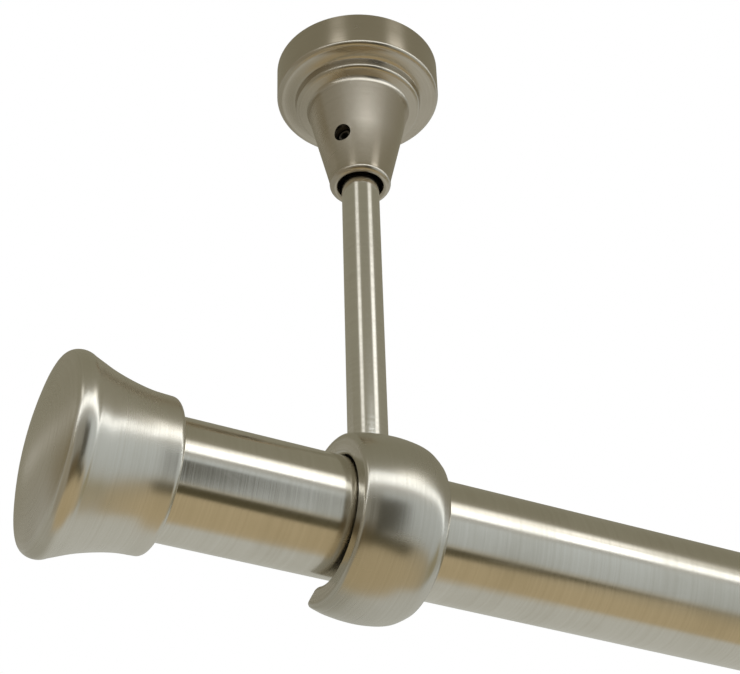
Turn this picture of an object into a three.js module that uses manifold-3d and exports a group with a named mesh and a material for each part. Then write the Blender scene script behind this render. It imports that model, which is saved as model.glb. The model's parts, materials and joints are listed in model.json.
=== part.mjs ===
// Ceiling-mounted curtain rod: one tube carried by two stem brackets, closed by two turned finials.
// Millimetres, +Z up. Origin: centre of the left bracket's ceiling plate, on the ceiling plane.
// +X runs along the rod to the right-hand bracket; -Y faces the room.
import * as THREE from 'three';
import { mergeVertices } from 'three/addons/utils/BufferGeometryUtils.js';
import Module from 'manifold-3d';

const wasm = await Module();
wasm.setup();

// ---------------------------------------------------------------- driving dimensions
const GAP = 0.3; // clearance wherever one piece sits against or inside another
const TURN = 40; // facets round the large turned pieces
const SMALL_TURN = 24; // facets round screws and small holes

const TUBE_RADIUS = 14;
const TUBE_WALL = 1;
const TUBE_LENGTH = 1200;
const ROD_DROP = 144; // ceiling plane to rod axis

const END_OVERHANG = 51; // stem axis to the finial's collar face
const SOCKET_DEPTH = 20; // how far the tube runs into a finial

const STEM_RADIUS = 4.8;

const ROSETTE_RADIUS = 21.5;
const ROSETTE_WALL = 1.5;
const ROSETTE_RIM = 9.4; // height of the plain cylindrical rim
const ROSETTE_HEIGHT = 42;
const STEP_WIDTH = 5; // rim to the second, smaller step
const STEP_HEIGHT = 4.8;
const CONE_SET_IN = 3.2; // second step to the top of the cone
const CONE_WALL = 2.1; // round the mouth
const MOUTH_DEPTH = 2.5; // rounded lip at the cone's lower end
const STEM_PLAY = 1; // rosette's bore round the stem
const GUIDE_LENGTH = 17; // solid part of the cone that slides on the stem

const PLATE_PLAY = 1.5; // plate inside the rosette's rim
const PLATE_THICK = 3;
const HUB_RADIUS = 7.5;
const HUB_DEPTH = 12; // below the ceiling plane
const HUB_ROOF = 4; // solid metal left over the thread
const FIXING_HOLE = 2.3;
const FIXING_HEAD = 4.2;

const STUD_RADIUS = 2.7;
const STUD_DEPTH = 10; // into the stem

const GRUB_RADIUS = 2;
const HEX_FLATS = 2; // across the flats of a grub screw's socket
const HEX_DEPTH = 2;
const ROSETTE_SCREW_RISE = 11.5; // above the rosette's mouth
const ROSETTE_SCREW_ANGLE = 217.7; // degrees from +X round +Z
const ROSETTE_SCREW_RECESS = 1.2;
const CLAMP_ANGLE = 146; // degrees past straight down, towards the wall side
const CLAMP_RECESS = 2;

const RING_PLAY = 0.95; // ring's bore round the tube
const RING_WALL = 6.75;
const RING_LEFT = -10.5;
const RING_RIGHT = 11.2;
const LIP_END = 37.5; // degrees past straight down where the lip under the tube stops
const LIP_FALL = 16; // slope of the lip's end face, degrees below level
const LIP_NOSE = 2.8; // rounding of the lip's outer corner
const ARM_END = 130; // degrees past straight down where the arm over the tube stops
const SOCKET_WEB = 4; // metal between the tube's bore and the stem's seat
const HEAD_INSET = 0.2; // ring screw's head behind the bore

const RING_SCREW_RADIUS = 2.2;
const RING_SCREW_HEAD = 4.4;
const RING_SCREW_REACH = 10; // into the stem
const RING_SCREW_FLATS = 3;

const COLLAR_WALL = 3.7;
const FLARE = 5.1; // collar to the widest point
const END_WALL = 8.1;
const RIM_DEPTH = 5.8; // widest point to the crown of the end face
const RIM_ROUND = 2; // rounding of the widest edge, taken in from the side
const RIM_STRETCH = 1.5; // the same rounding runs longer along the axis
const PLUG_LENGTH = 25;
const PLUG_WALL = 2;
const PLUG_FLOOR = 3;
const PLUG_SLOT = 2;
const FINIAL_SCREW_RADIUS = 1.8;
const FINIAL_SCREW_HEAD = 3.8;
const FINIAL_SCREW_REACH = 5.5; // into the finial's end wall

// ---------------------------------------------------------------- derived sizes
const BRACKET_SPACING = TUBE_LENGTH - 2 * (END_OVERHANG + SOCKET_DEPTH);
const TUBE_BORE = TUBE_RADIUS - TUBE_WALL;

const ROSETTE_BORE = STEM_RADIUS + STEM_PLAY;
const STEP_RADIUS = ROSETTE_RADIUS - STEP_WIDTH;
const STEP_BOTTOM = ROSETTE_RIM + STEP_HEIGHT;
const CONE_TOP = STEP_BOTTOM + 1;
const CONE_TOP_RADIUS = STEP_RADIUS - CONE_SET_IN;
const CONE_END = ROSETTE_HEIGHT - MOUTH_DEPTH;
const CONE_END_RADIUS = ROSETTE_BORE + CONE_WALL;
const CONE_SLOPE = (CONE_TOP_RADIUS - CONE_END_RADIUS) / (CONE_END - CONE_TOP);

const PLATE_RADIUS = ROSETTE_RADIUS - ROSETTE_WALL - PLATE_PLAY;
const FIXING_PITCH = (PLATE_RADIUS + HUB_RADIUS) / 2;
const STUD_REACH = HUB_DEPTH - HUB_ROOF - GAP;

const RING_BORE = TUBE_RADIUS + RING_PLAY;
const RING_RADIUS = RING_BORE + RING_WALL;
const RING_SAG = RING_PLAY - GAP; // the tube is held up against the top of the ring's bore
const RING_CENTRE = -ROD_DROP - RING_SAG;
const STEM_SEAT = RING_BORE + SOCKET_WEB; // above the ring's centre
const HEAD_SEAT = RING_BORE + HEAD_INSET;

const STEM_TOP = -HUB_DEPTH - GAP;
const STEM_BOTTOM = RING_CENTRE + STEM_SEAT + GAP;

const ROSETTE_SCREW_DROP = ROSETTE_HEIGHT - ROSETTE_SCREW_RISE;
const ROSETTE_SCREW_TIP = STEM_RADIUS + GAP;
const ROSETTE_SCREW_END = CONE_TOP_RADIUS
  - CONE_SLOPE * (ROSETTE_SCREW_DROP - CONE_TOP) - ROSETTE_SCREW_RECESS;
const CLAMP_TIP = Math.sqrt(TUBE_RADIUS ** 2 - (RING_SAG * Math.sin(rad(CLAMP_ANGLE))) ** 2)
  - RING_SAG * Math.cos(rad(CLAMP_ANGLE)) + GAP;
const CLAMP_END = RING_RADIUS - CLAMP_RECESS;

const COLLAR_RADIUS = TUBE_RADIUS + COLLAR_WALL;
const FLARE_RADIUS = COLLAR_RADIUS + FLARE;
const FINIAL_FLOOR = SOCKET_DEPTH + GAP;
const FINIAL_LENGTH = FINIAL_FLOOR + END_WALL;
const FLARE_AT = FINIAL_LENGTH - RIM_DEPTH;

// ---------------------------------------------------------------- finishes
const finish = (name, color, roughness, metalness) =>
  new THREE.MeshStandardMaterial({ name, color, roughness, metalness });
const nickelTube = finish('nickel_tube', 0x9a958a, 0.3, 1);
const nickelTurned = finish('nickel_turned', 0x8f8a7e, 0.34, 1);
const nickelStem = finish('nickel_stem', 0x98938a, 0.28, 1);
const zincSteel = finish('zinc_steel', 0xa8abad, 0.42, 1);
const screwSteel = finish('screw_steel', 0x8c8e90, 0.36, 1);
const blackSteel = finish('black_steel', 0x26272a, 0.5, 0.8);
const blackPlastic = finish('black_plastic', 0x1b1c1d, 0.6, 0);

// ---------------------------------------------------------------- building helpers
function rad(degrees) {
  return degrees * Math.PI / 180;
}

// Quarter-turn style fillet: points on an arc, both ends included.
function arc(cx, cy, radius, from, to, steps) {
  const points = [];
  for (let i = 0; i <= steps; i += 1) {
    const a = rad(from + (to - from) * i / steps);
    points.push([cx + radius * Math.cos(a), cy + radius * Math.sin(a)]);
  }
  return points;
}

// Turned solid round Z from a closed [radius, height] outline.
function turned(outline, facets = TURN) {
  const points = outline.map(([r, z]) => new THREE.Vector2(Math.max(r, 0), z));
  if (outline[0][0] > 0) {
    points.push(points[0].clone());
  }
  const geometry = new THREE.LatheGeometry(points, facets);
  geometry.rotateX(Math.PI / 2);
  return geometry;
}

// Plain round bar on the Z axis between two heights.
function bar(radius, low, high, facets = SMALL_TURN) {
  return turned([[0, low], [radius, low], [radius, high], [0, high]], facets);
}

function hexSocket(acrossFlats, low, high) {
  const geometry = new THREE.CylinderGeometry(
    acrossFlats / Math.sqrt(3), acrossFlats / Math.sqrt(3), high - low, 6);
  geometry.rotateX(Math.PI / 2);
  geometry.translate(0, 0, (low + high) / 2);
  return geometry;
}

function toSolid(geometry) {
  const plain = geometry.clone();
  plain.deleteAttribute('normal');
  plain.deleteAttribute('uv');
  const merged = mergeVertices(plain, 1e-5);
  const position = merged.getAttribute('position');
  const index = merged.getIndex().array;
  const triangles = [];
  for (let i = 0; i < index.length; i += 3) {
    const [a, b, c] = [index[i], index[i + 1], index[i + 2]];
    if (a !== b && b !== c && c !== a) {
      triangles.push(a, b, c);
    }
  }
  const mesh = new wasm.Mesh({
    numProp: 3,
    vertProperties: new Float32Array(position.array),
    triVerts: new Uint32Array(triangles),
  });
  const solid = new wasm.Manifold(mesh);
  if (solid.volume() < 0) {
    throw new Error('a solid faces inwards');
  }
  return solid;
}

function fromSolid(solid) {
  const mesh = solid.getMesh();
  const geometry = new THREE.BufferGeometry();
  geometry.setAttribute('position', new THREE.BufferAttribute(mesh.vertProperties, 3));
  geometry.setIndex(new THREE.BufferAttribute(mesh.triVerts, 1));
  geometry.computeVertexNormals();
  return geometry;
}

function cut(base, ...tools) {
  let solid = toSolid(base);
  for (const tool of tools) {
    solid = solid.subtract(toSolid(tool));
  }
  return fromSolid(solid);
}

function piece(name, geometry, material) {
  const mesh = new THREE.Mesh(geometry, material);
  mesh.name = name;
  return mesh;
}

// ---------------------------------------------------------------- tube
function tubePiece() {
  const geometry = turned([
    [TUBE_BORE, 0], [TUBE_RADIUS, 0], [TUBE_RADIUS, TUBE_LENGTH], [TUBE_BORE, TUBE_LENGTH],
  ]);
  geometry.rotateY(Math.PI / 2);
  const mesh = piece('tube', geometry, nickelTube);
  mesh.position.set(-END_OVERHANG - SOCKET_DEPTH, 0, -ROD_DROP);
  return mesh;
}

// ---------------------------------------------------------------- ceiling plate with its hub
function ceilingPlate(side) {
  const body = turned([
    [0, -HUB_DEPTH], [HUB_RADIUS - 0.8, -HUB_DEPTH], [HUB_RADIUS, -HUB_DEPTH + 0.8],
    [HUB_RADIUS, -PLATE_THICK - 1], [HUB_RADIUS + 1, -PLATE_THICK],
    [PLATE_RADIUS - 0.5, -PLATE_THICK], [PLATE_RADIUS, -PLATE_THICK + 0.5],
    [PLATE_RADIUS, 0], [0, 0],
  ]);
  const thread = bar(STUD_RADIUS + GAP, -HUB_DEPTH - 1, -HUB_DEPTH + STUD_REACH + GAP);
  const holes = [];
  for (const angle of [90, 210, 330]) {
    const hole = turned([
      [0, -PLATE_THICK - 1], [FIXING_HEAD, -PLATE_THICK - 1], [FIXING_HEAD, -PLATE_THICK],
      [FIXING_HOLE, -PLATE_THICK + FIXING_HEAD - FIXING_HOLE], [FIXING_HOLE, 1], [0, 1],
    ], SMALL_TURN);
    hole.translate(FIXING_PITCH * Math.cos(rad(angle)), FIXING_PITCH * Math.sin(rad(angle)), 0);
    holes.push(hole);
  }
  return piece(`ceiling_plate_${side}`, cut(body, thread, ...holes), zincSteel);
}

// ---------------------------------------------------------------- stud between plate and stem
function stemStud(side) {
  const low = STEM_TOP - STUD_DEPTH;
  const high = -HUB_DEPTH + STUD_REACH;
  const geometry = turned([
    [0, low], [STUD_RADIUS - 0.5, low], [STUD_RADIUS, low + 0.5],
    [STUD_RADIUS, high - 0.5], [STUD_RADIUS - 0.5, high], [0, high],
  ], SMALL_TURN);
  return piece(`stem_stud_${side}`, geometry, screwSteel);
}

// ---------------------------------------------------------------- stem
function stem(side) {
  const body = turned([
    [0, STEM_BOTTOM], [STEM_RADIUS - 0.4, STEM_BOTTOM], [STEM_RADIUS, STEM_BOTTOM + 0.4],
    [STEM_RADIUS, STEM_TOP - 0.4], [STEM_RADIUS - 0.4, STEM_TOP], [0, STEM_TOP],
  ]);
  const upper = bar(STUD_RADIUS + GAP, STEM_TOP - STUD_DEPTH - GAP, STEM_TOP + 1);
  const lower = bar(RING_SCREW_RADIUS + GAP, STEM_BOTTOM - 1, STEM_BOTTOM + RING_SCREW_REACH + GAP);
  return piece(`stem_${side}`, cut(body, upper, lower), nickelStem);
}

// ---------------------------------------------------------------- rosette: stepped cover with a cone
function rosetteGeometry() {
  const guideTop = ROSETTE_HEIGHT - GUIDE_LENGTH;
  const innerCone = CONE_TOP_RADIUS - ROSETTE_WALL;
  const innerDrop = (guideTop - CONE_TOP) * 0.45;
  const outline = [
    [ROSETTE_BORE, -guideTop],
    [ROSETTE_BORE, -ROSETTE_HEIGHT + 0.6],
    ...arc(ROSETTE_BORE + 0.9, -ROSETTE_HEIGHT + 0.9, 0.9, 200, 270, 2).slice(1),
    ...arc(CONE_END_RADIUS - 1.4, -ROSETTE_HEIGHT + 1.4, 1.4, 285, 360, 3),
    [CONE_END_RADIUS, -CONE_END],
    [CONE_TOP_RADIUS - CONE_SLOPE * 4, -CONE_TOP - 4],
    [CONE_TOP_RADIUS, -CONE_TOP],
    [STEP_RADIUS - 2.3, -STEP_BOTTOM - 0.5],
    ...arc(STEP_RADIUS - 1.2, -STEP_BOTTOM + 0.9, 1.2, 275, 355, 3),
    [STEP_RADIUS + 0.2, -ROSETTE_RIM - 2.2],
    [STEP_RADIUS + 1, -ROSETTE_RIM - 1.7],
    ...arc(ROSETTE_RADIUS - 1.4, -ROSETTE_RIM - 0.2, 1.4, 265, 360, 4),
    [ROSETTE_RADIUS, -0.4],
    [ROSETTE_RADIUS - 0.4, 0],
    [ROSETTE_RADIUS - ROSETTE_WALL, 0],
    [ROSETTE_RADIUS - ROSETTE_WALL, -ROSETTE_RIM + 0.8],
    [STEP_RADIUS - ROSETTE_WALL, -ROSETTE_RIM - 0.4],
    [STEP_RADIUS - ROSETTE_WALL, -STEP_BOTTOM + ROSETTE_WALL],
    [innerCone, -CONE_TOP + ROSETTE_WALL],
    [innerCone - CONE_SLOPE * innerDrop, -CONE_TOP - innerDrop],
  ];
  return turned(outline);
}

function radialHole(radius, reach, angle, height) {
  const tool = bar(radius, 0, reach);
  tool.rotateY(Math.PI / 2);
  tool.rotateZ(rad(angle));
  tool.translate(0, 0, height);
  return tool;
}

function rosette(side) {
  const thread = radialHole(
    GRUB_RADIUS + GAP, ROSETTE_RADIUS, ROSETTE_SCREW_ANGLE, -ROSETTE_SCREW_DROP);
  return piece(`rosette_${side}`, cut(rosetteGeometry(), thread), nickelTurned);
}

// ---------------------------------------------------------------- grub screws, tip at z = 0
function grubScrew(name, length) {
  const body = turned([
    [0, 0], [GRUB_RADIUS - 0.7, 0], [GRUB_RADIUS, 0.7],
    [GRUB_RADIUS, length - 0.4], [GRUB_RADIUS - 0.4, length], [0, length],
  ], SMALL_TURN);
  return piece(name, cut(body, hexSocket(HEX_FLATS, length - HEX_DEPTH, length + 1)), blackSteel);
}

function rosetteScrew(side) {
  const length = ROSETTE_SCREW_END - ROSETTE_SCREW_TIP;
  const mesh = grubScrew(`rosette_grub_screw_${side}`, length);
  const a = rad(ROSETTE_SCREW_ANGLE);
  mesh.rotation.set(0, Math.PI / 2, a, 'ZYX');
  mesh.position.set(
    ROSETTE_SCREW_TIP * Math.cos(a), ROSETTE_SCREW_TIP * Math.sin(a), -ROSETTE_SCREW_DROP);
  return mesh;
}

// ---------------------------------------------------------------- C-shaped barrel ring for the tube
function ringGeometry() {
  const width = RING_RIGHT - RING_LEFT;
  // [share of the width from the left face, how far inside the greatest radius]
  const crown = [
    [0.03, 1.35], [0.184, 0.62], [0.364, 0.12], [0.548, 0],
    [0.733, 0.4], [0.85, 1.1], [0.935, 2.2], [1, 4.1],
  ];
  const shoulder = new THREE.SplineCurve(
    crown.map(([share, drop]) => new THREE.Vector2(RING_RADIUS - drop, RING_LEFT + share * width)));
  const outline = [
    [RING_BORE + 0.3, RING_LEFT],
    [RING_RADIUS - 1.75, RING_LEFT],
    ...shoulder.getPoints(14).map((p) => [p.x, p.y]),
    [RING_BORE + 0.5, RING_RIGHT],
    [RING_BORE, RING_RIGHT - 0.5],
    [RING_BORE, RING_LEFT + 0.3],
  ];
  const geometry = turned(outline);
  geometry.rotateY(Math.PI / 2);
  return geometry;
}

// Direction in the ring's plane, measured from straight down towards +Y.
function ringDirection(angle) {
  return new THREE.Vector3(0, Math.sin(rad(angle)), -Math.cos(rad(angle)));
}

function ringOpening() {
  const reach = 2 * RING_RADIUS;
  const lip = ringDirection(LIP_END).multiplyScalar(RING_RADIUS - RING_WALL / 2);
  const slope = Math.tan(rad(LIP_FALL));
  const nose = arc(
    lip.y - LIP_NOSE * Math.sin(rad(LIP_FALL)), lip.z - LIP_NOSE * Math.cos(rad(LIP_FALL)),
    LIP_NOSE, 90 - LIP_FALL, -50, 6);
  const arm = ringDirection(ARM_END).multiplyScalar(reach);
  const shape = new THREE.Shape();
  shape.moveTo(0, lip.z + lip.y * slope);
  nose.forEach(([y, z]) => shape.lineTo(y, z));
  shape.lineTo(reach, -reach);
  shape.lineTo(arm.y, arm.z);
  shape.lineTo(0, 0);
  const width = RING_RIGHT - RING_LEFT + 4;
  const opening = new THREE.ExtrudeGeometry(shape, { depth: width, bevelEnabled: false });
  opening.rotateX(Math.PI / 2);
  opening.rotateZ(Math.PI / 2);
  opening.translate(RING_LEFT - 2, 0, 0);
  return opening;
}

function rodRing(side) {
  const socket = bar(STEM_RADIUS + GAP, STEM_SEAT, RING_RADIUS + 2, TURN);
  const sink = RING_SCREW_HEAD + GAP;
  const shank = RING_SCREW_RADIUS + GAP;
  const screwHole = turned([
    [0, 0], [sink, 0], [sink, HEAD_SEAT + 0.2], [shank, HEAD_SEAT + 0.2 + sink - shank],
    [shank, STEM_SEAT + 1], [0, STEM_SEAT + 1],
  ], SMALL_TURN);
  const clamp = bar(GRUB_RADIUS + GAP, RING_BORE / 2, 2 * RING_RADIUS);
  clamp.rotateX(Math.PI + rad(CLAMP_ANGLE));
  const geometry = cut(ringGeometry(), ringOpening(), socket, screwHole, clamp);
  const mesh = piece(`rod_ring_${side}`, geometry, nickelTurned);
  mesh.position.set(0, 0, RING_CENTRE);
  return mesh;
}

// ---------------------------------------------------------------- countersunk screw, ring to stem
function ringScrew(side) {
  const seat = HEAD_SEAT;
  const end = STEM_BOTTOM - RING_CENTRE + RING_SCREW_REACH;
  const body = turned([
    [0, seat], [RING_SCREW_HEAD - 0.3, seat], [RING_SCREW_HEAD, seat + 0.2],
    [RING_SCREW_RADIUS, seat + 0.2 + RING_SCREW_HEAD - RING_SCREW_RADIUS],
    [RING_SCREW_RADIUS, end - 0.5], [RING_SCREW_RADIUS - 0.5, end], [0, end],
  ], SMALL_TURN);
  const socket = hexSocket(RING_SCREW_FLATS, seat - 1, seat + 2);
  const mesh = piece(`ring_screw_${side}`, cut(body, socket), screwSteel);
  mesh.position.set(0, 0, RING_CENTRE);
  return mesh;
}

function clampScrew(side) {
  const mesh = grubScrew(`clamp_grub_screw_${side}`, CLAMP_END - CLAMP_TIP);
  const d = ringDirection(CLAMP_ANGLE);
  mesh.rotation.x = Math.PI + rad(CLAMP_ANGLE);
  mesh.position.set(0, CLAMP_TIP * d.y, RING_CENTRE + CLAMP_TIP * d.z);
  return mesh;
}

// ---------------------------------------------------------------- finial, collar face at z = 0
function finialShell(side) {
  const bore = TUBE_RADIUS + GAP;
  const flank = new THREE.SplineCurve([
    new THREE.Vector2(COLLAR_RADIUS, 1.6),
    new THREE.Vector2(COLLAR_RADIUS + FLARE * 0.05, FLARE_AT * 0.265),
    new THREE.Vector2(COLLAR_RADIUS + FLARE * 0.215, FLARE_AT * 0.465),
    new THREE.Vector2(COLLAR_RADIUS + FLARE * 0.46, FLARE_AT * 0.664),
    new THREE.Vector2(COLLAR_RADIUS + FLARE * 0.73, FLARE_AT * 0.82),
  ]);
  const rim = arc(FLARE_RADIUS - RIM_ROUND, FLARE_AT, RIM_ROUND, -45, 78, 6)
    .map(([r, z]) => [r, FLARE_AT + (z - FLARE_AT) * RIM_STRETCH]);
  const [edge, edgeAt] = rim[rim.length - 1];
  const crown = FINIAL_LENGTH - edgeAt;
  const outline = [
    [bore, FINIAL_FLOOR],
    [bore, 0.4],
    [bore + 0.4, 0],
    ...arc(COLLAR_RADIUS - 1.4, 1.4, 1.4, 270, 350, 3),
    ...flank.getPoints(7).map((p) => [p.x, p.y]),
    ...rim,
    [edge * 0.7, edgeAt + crown * 0.51],
    [edge * 0.4, edgeAt + crown * 0.84],
    [0, FINIAL_LENGTH],
  ];
  const body = turned([[0, FINIAL_FLOOR], ...outline]);
  const thread = bar(
    FINIAL_SCREW_RADIUS + GAP, FINIAL_FLOOR - 1, FINIAL_FLOOR + FINIAL_SCREW_REACH + GAP);
  return piece(`finial_shell_${side}`, cut(body, thread), nickelTurned);
}

function finialPlug(side) {
  const outer = TUBE_BORE - GAP;
  const base = SOCKET_DEPTH;
  const tip = base - PLUG_LENGTH;
  const body = turned([
    [FINIAL_SCREW_RADIUS + GAP, base],
    [FINIAL_SCREW_RADIUS + GAP, base - PLUG_FLOOR],
    [outer - PLUG_WALL, base - PLUG_FLOOR],
    [outer - PLUG_WALL, tip],
    [outer - 1.2, tip],
    [outer, tip + 3],
    [outer, base],
  ]);
  const slotLength = PLUG_LENGTH - PLUG_FLOOR - 4;
  const slots = [0, 90].map((angle) => {
    const slot = new THREE.BoxGeometry(3 * outer, PLUG_SLOT, slotLength);
    slot.translate(0, 0, tip + slotLength / 2 - 0.5);
    slot.rotateZ(rad(angle));
    return slot;
  });
  return piece(`finial_plug_${side}`, cut(body, ...slots), blackPlastic);
}

function finialScrew(side) {
  const seat = SOCKET_DEPTH - PLUG_FLOOR - GAP;
  const end = FINIAL_FLOOR + FINIAL_SCREW_REACH;
  const body = turned([
    [0, seat - 2.4], [FINIAL_SCREW_HEAD - 1.4, seat - 2.4], [FINIAL_SCREW_HEAD, seat - 1.2],
    [FINIAL_SCREW_HEAD, seat], [FINIAL_SCREW_RADIUS, seat],
    [FINIAL_SCREW_RADIUS, end - 0.8], [FINIAL_SCREW_RADIUS - 0.8, end], [0, end],
  ], SMALL_TURN);
  const slots = [0, 90].map((angle) => {
    const slot = new THREE.BoxGeometry(4.2, 0.9, 2.4);
    slot.translate(0, 0, seat - 2.4);
    slot.rotateZ(rad(angle));
    return slot;
  });
  return piece(`finial_screw_${side}`, cut(body, ...slots), screwSteel);
}

// ---------------------------------------------------------------- assembly
function bracket(side, x) {
  const set = new THREE.Group();
  set.name = `bracket_${side}`;
  set.add(ceilingPlate(side), stemStud(side), stem(side));
  set.add(rosette(side), rosetteScrew(side));
  set.add(rodRing(side), ringScrew(side), clampScrew(side));
  set.position.x = x;
  return set;
}

function finial(side, x, turn) {
  const set = new THREE.Group();
  set.name = `finial_${side}`;
  set.add(finialShell(side), finialPlug(side), finialScrew(side));
  set.rotation.y = turn;
  set.position.set(x, 0, -ROD_DROP);
  return set;
}

const group = new THREE.Group();
group.name = 'curtain_rod_with_brackets';
group.add(tubePiece());
group.add(bracket('left', 0));
group.add(bracket('right', BRACKET_SPACING));
group.add(finial('left', -END_OVERHANG, -Math.PI / 2));
group.add(finial('right', BRACKET_SPACING + END_OVERHANG, Math.PI / 2));

export default group;
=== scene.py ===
import json
import math
import bpy
import bmesh
from mathutils import Matrix, Vector


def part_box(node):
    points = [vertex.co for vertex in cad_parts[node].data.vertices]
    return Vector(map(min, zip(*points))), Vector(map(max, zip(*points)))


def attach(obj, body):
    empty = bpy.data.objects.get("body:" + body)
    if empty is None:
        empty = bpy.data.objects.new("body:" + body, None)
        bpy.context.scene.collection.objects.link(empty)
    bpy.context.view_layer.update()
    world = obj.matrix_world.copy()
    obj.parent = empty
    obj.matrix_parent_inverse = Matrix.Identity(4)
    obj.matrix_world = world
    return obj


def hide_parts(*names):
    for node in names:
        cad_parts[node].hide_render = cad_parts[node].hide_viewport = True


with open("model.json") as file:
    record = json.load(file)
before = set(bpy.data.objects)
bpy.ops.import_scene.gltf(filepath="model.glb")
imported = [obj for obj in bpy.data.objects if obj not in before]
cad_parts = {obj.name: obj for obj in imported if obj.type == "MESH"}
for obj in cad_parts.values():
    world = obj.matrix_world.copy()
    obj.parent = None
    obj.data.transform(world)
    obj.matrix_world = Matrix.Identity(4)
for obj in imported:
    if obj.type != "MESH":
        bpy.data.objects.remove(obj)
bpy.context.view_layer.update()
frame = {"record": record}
MM = 0.001
SIDES = ("left", "right")


# ---- Studio: pale floor, soft room light, and a viewpoint below and in front of the left bracket
# The rod hangs from a ceiling, so it is seen from below. The room that the metal reflects has an
# olive-grey ceiling, pale walls, beige curtains, a dim side, a few lamps and a tan floor.
scene = bpy.context.scene
scene.view_settings.view_transform = "Standard"

left_low, left_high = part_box("ceiling_plate_left")
origin = Vector(((left_low.x + left_high.x) / 2, (left_low.y + left_high.y) / 2, left_high.z))
EYE_FROM_ORIGIN = Vector((-166.84, -334.81, -376.15))
HEADING, RISE, TILT = 0.4659, 0.6519, -0.0326
eye = origin + EYE_FROM_ORIGIN * MM
look = Vector((
    math.sin(HEADING) * math.cos(RISE), math.cos(HEADING) * math.cos(RISE), math.sin(RISE)))
level = Vector((math.cos(HEADING), -math.sin(HEADING), 0.0))
upright = level.cross(look)
camera_x = math.cos(TILT) * level + math.sin(TILT) * upright
camera_y = math.cos(TILT) * upright - math.sin(TILT) * level
camera_data = bpy.data.cameras.new("viewpoint")
camera_data.sensor_width = 36.0
camera_data.lens = 94.45
camera_data.shift_x = -0.0007
camera_data.shift_y = 0.0014
camera_data.clip_start = 0.01
camera_data.clip_end = 50.0
camera = bpy.data.objects.new("viewpoint", camera_data)
camera.matrix_world = Matrix((
    (camera_x.x, camera_y.x, -look.x, eye.x),
    (camera_x.y, camera_y.y, -look.y, eye.y),
    (camera_x.z, camera_y.z, -look.z, eye.z),
    (0.0, 0.0, 0.0, 1.0),
))
scene.collection.objects.link(camera)
scene.camera = camera

FLOOR_DROP = 1.6
FLOOR_LEFT, FLOOR_RIGHT, FLOOR_REACH = -4.0, 5.0, 4.0
floor_mesh = bpy.data.meshes.new("studio_floor")
floor_mesh.from_pydata(
    [(FLOOR_LEFT, -FLOOR_REACH, -FLOOR_DROP), (FLOOR_RIGHT, -FLOOR_REACH, -FLOOR_DROP),
     (FLOOR_RIGHT, FLOOR_REACH, -FLOOR_DROP), (FLOOR_LEFT, FLOOR_REACH, -FLOOR_DROP)],
    [], [(0, 1, 2, 3)])
floor = bpy.data.objects.new("studio_floor", floor_mesh)
scene.collection.objects.link(floor)
floor.visible_glossy = False
floor_paint = bpy.data.materials.new("pale_floor")
floor_paint.use_nodes = True
floor_shader = floor_paint.node_tree.nodes["Principled BSDF"]
floor_shader.inputs["Base Color"].default_value = (0.86, 0.85, 0.83, 1.0)
floor_shader.inputs["Roughness"].default_value = 0.85
floor_mesh.materials.append(floor_paint)

room = bpy.data.worlds.new("studio_room")
scene.world = room
room.use_nodes = True
sky = room.node_tree
sky.nodes.clear()


def sky_math(operation, a, b=None):
    node = sky.nodes.new("ShaderNodeMath")
    node.operation = operation
    for socket, value in zip(node.inputs, (a, b)):
        if value is None:
            continue
        if isinstance(value, (int, float)):
            socket.default_value = value
        else:
            sky.links.new(value, socket)
    return node.outputs[0]


direction = sky.nodes.new("ShaderNodeTexCoord")
split = sky.nodes.new("ShaderNodeSeparateXYZ")
sky.links.new(direction.outputs["Generated"], split.inputs[0])
toward = sky_math("MULTIPLY", split.outputs["Y"], -1.0)
azimuth = sky_math("DEGREES", sky_math("ARCTAN2", split.outputs["X"], toward))
elevation = sky_math("DEGREES", sky_math("ARCSINE", split.outputs["Z"]))
height = sky_math("DIVIDE", sky_math("ADD", elevation, 90.0), 180.0)

# From straight down, through the level, to straight up: degrees and colour.
room_heights = [
    (-90, (0.58, 0.47, 0.28)), (-56, (0.60, 0.49, 0.30)), (-38, (0.50, 0.43, 0.29)),
    (-28, (0.62, 0.65, 0.63)), (10, (0.72, 0.76, 0.75)), (20, (0.48, 0.46, 0.40)),
    (30, (0.35, 0.325, 0.24)), (60, (0.34, 0.32, 0.235)), (90, (0.33, 0.31, 0.22)),
]
bands = sky.nodes.new("ShaderNodeValToRGB")
ramp = bands.color_ramp
for degrees, colour in room_heights[1:-1]:
    ramp.elements.new((degrees + 90) / 180)
for stop, (degrees, colour) in zip(ramp.elements, room_heights):
    stop.position = (degrees + 90) / 180
    stop.color = colour + (1.0,)
sky.links.new(height, bands.inputs[0])


def edge_mask(value, centre, half, soft):
    """1 within half of centre, fading to 0 over soft degrees."""
    away = sky_math("PINGPONG", sky_math("SUBTRACT", value, float(centre)), 180.0)
    fade = sky.nodes.new("ShaderNodeMapRange")
    fade.interpolation_type = "SMOOTHSTEP"
    fade.inputs["From Min"].default_value = half + soft
    fade.inputs["From Max"].default_value = half - soft
    sky.links.new(away, fade.inputs["Value"])
    return fade.outputs["Result"]


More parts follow.
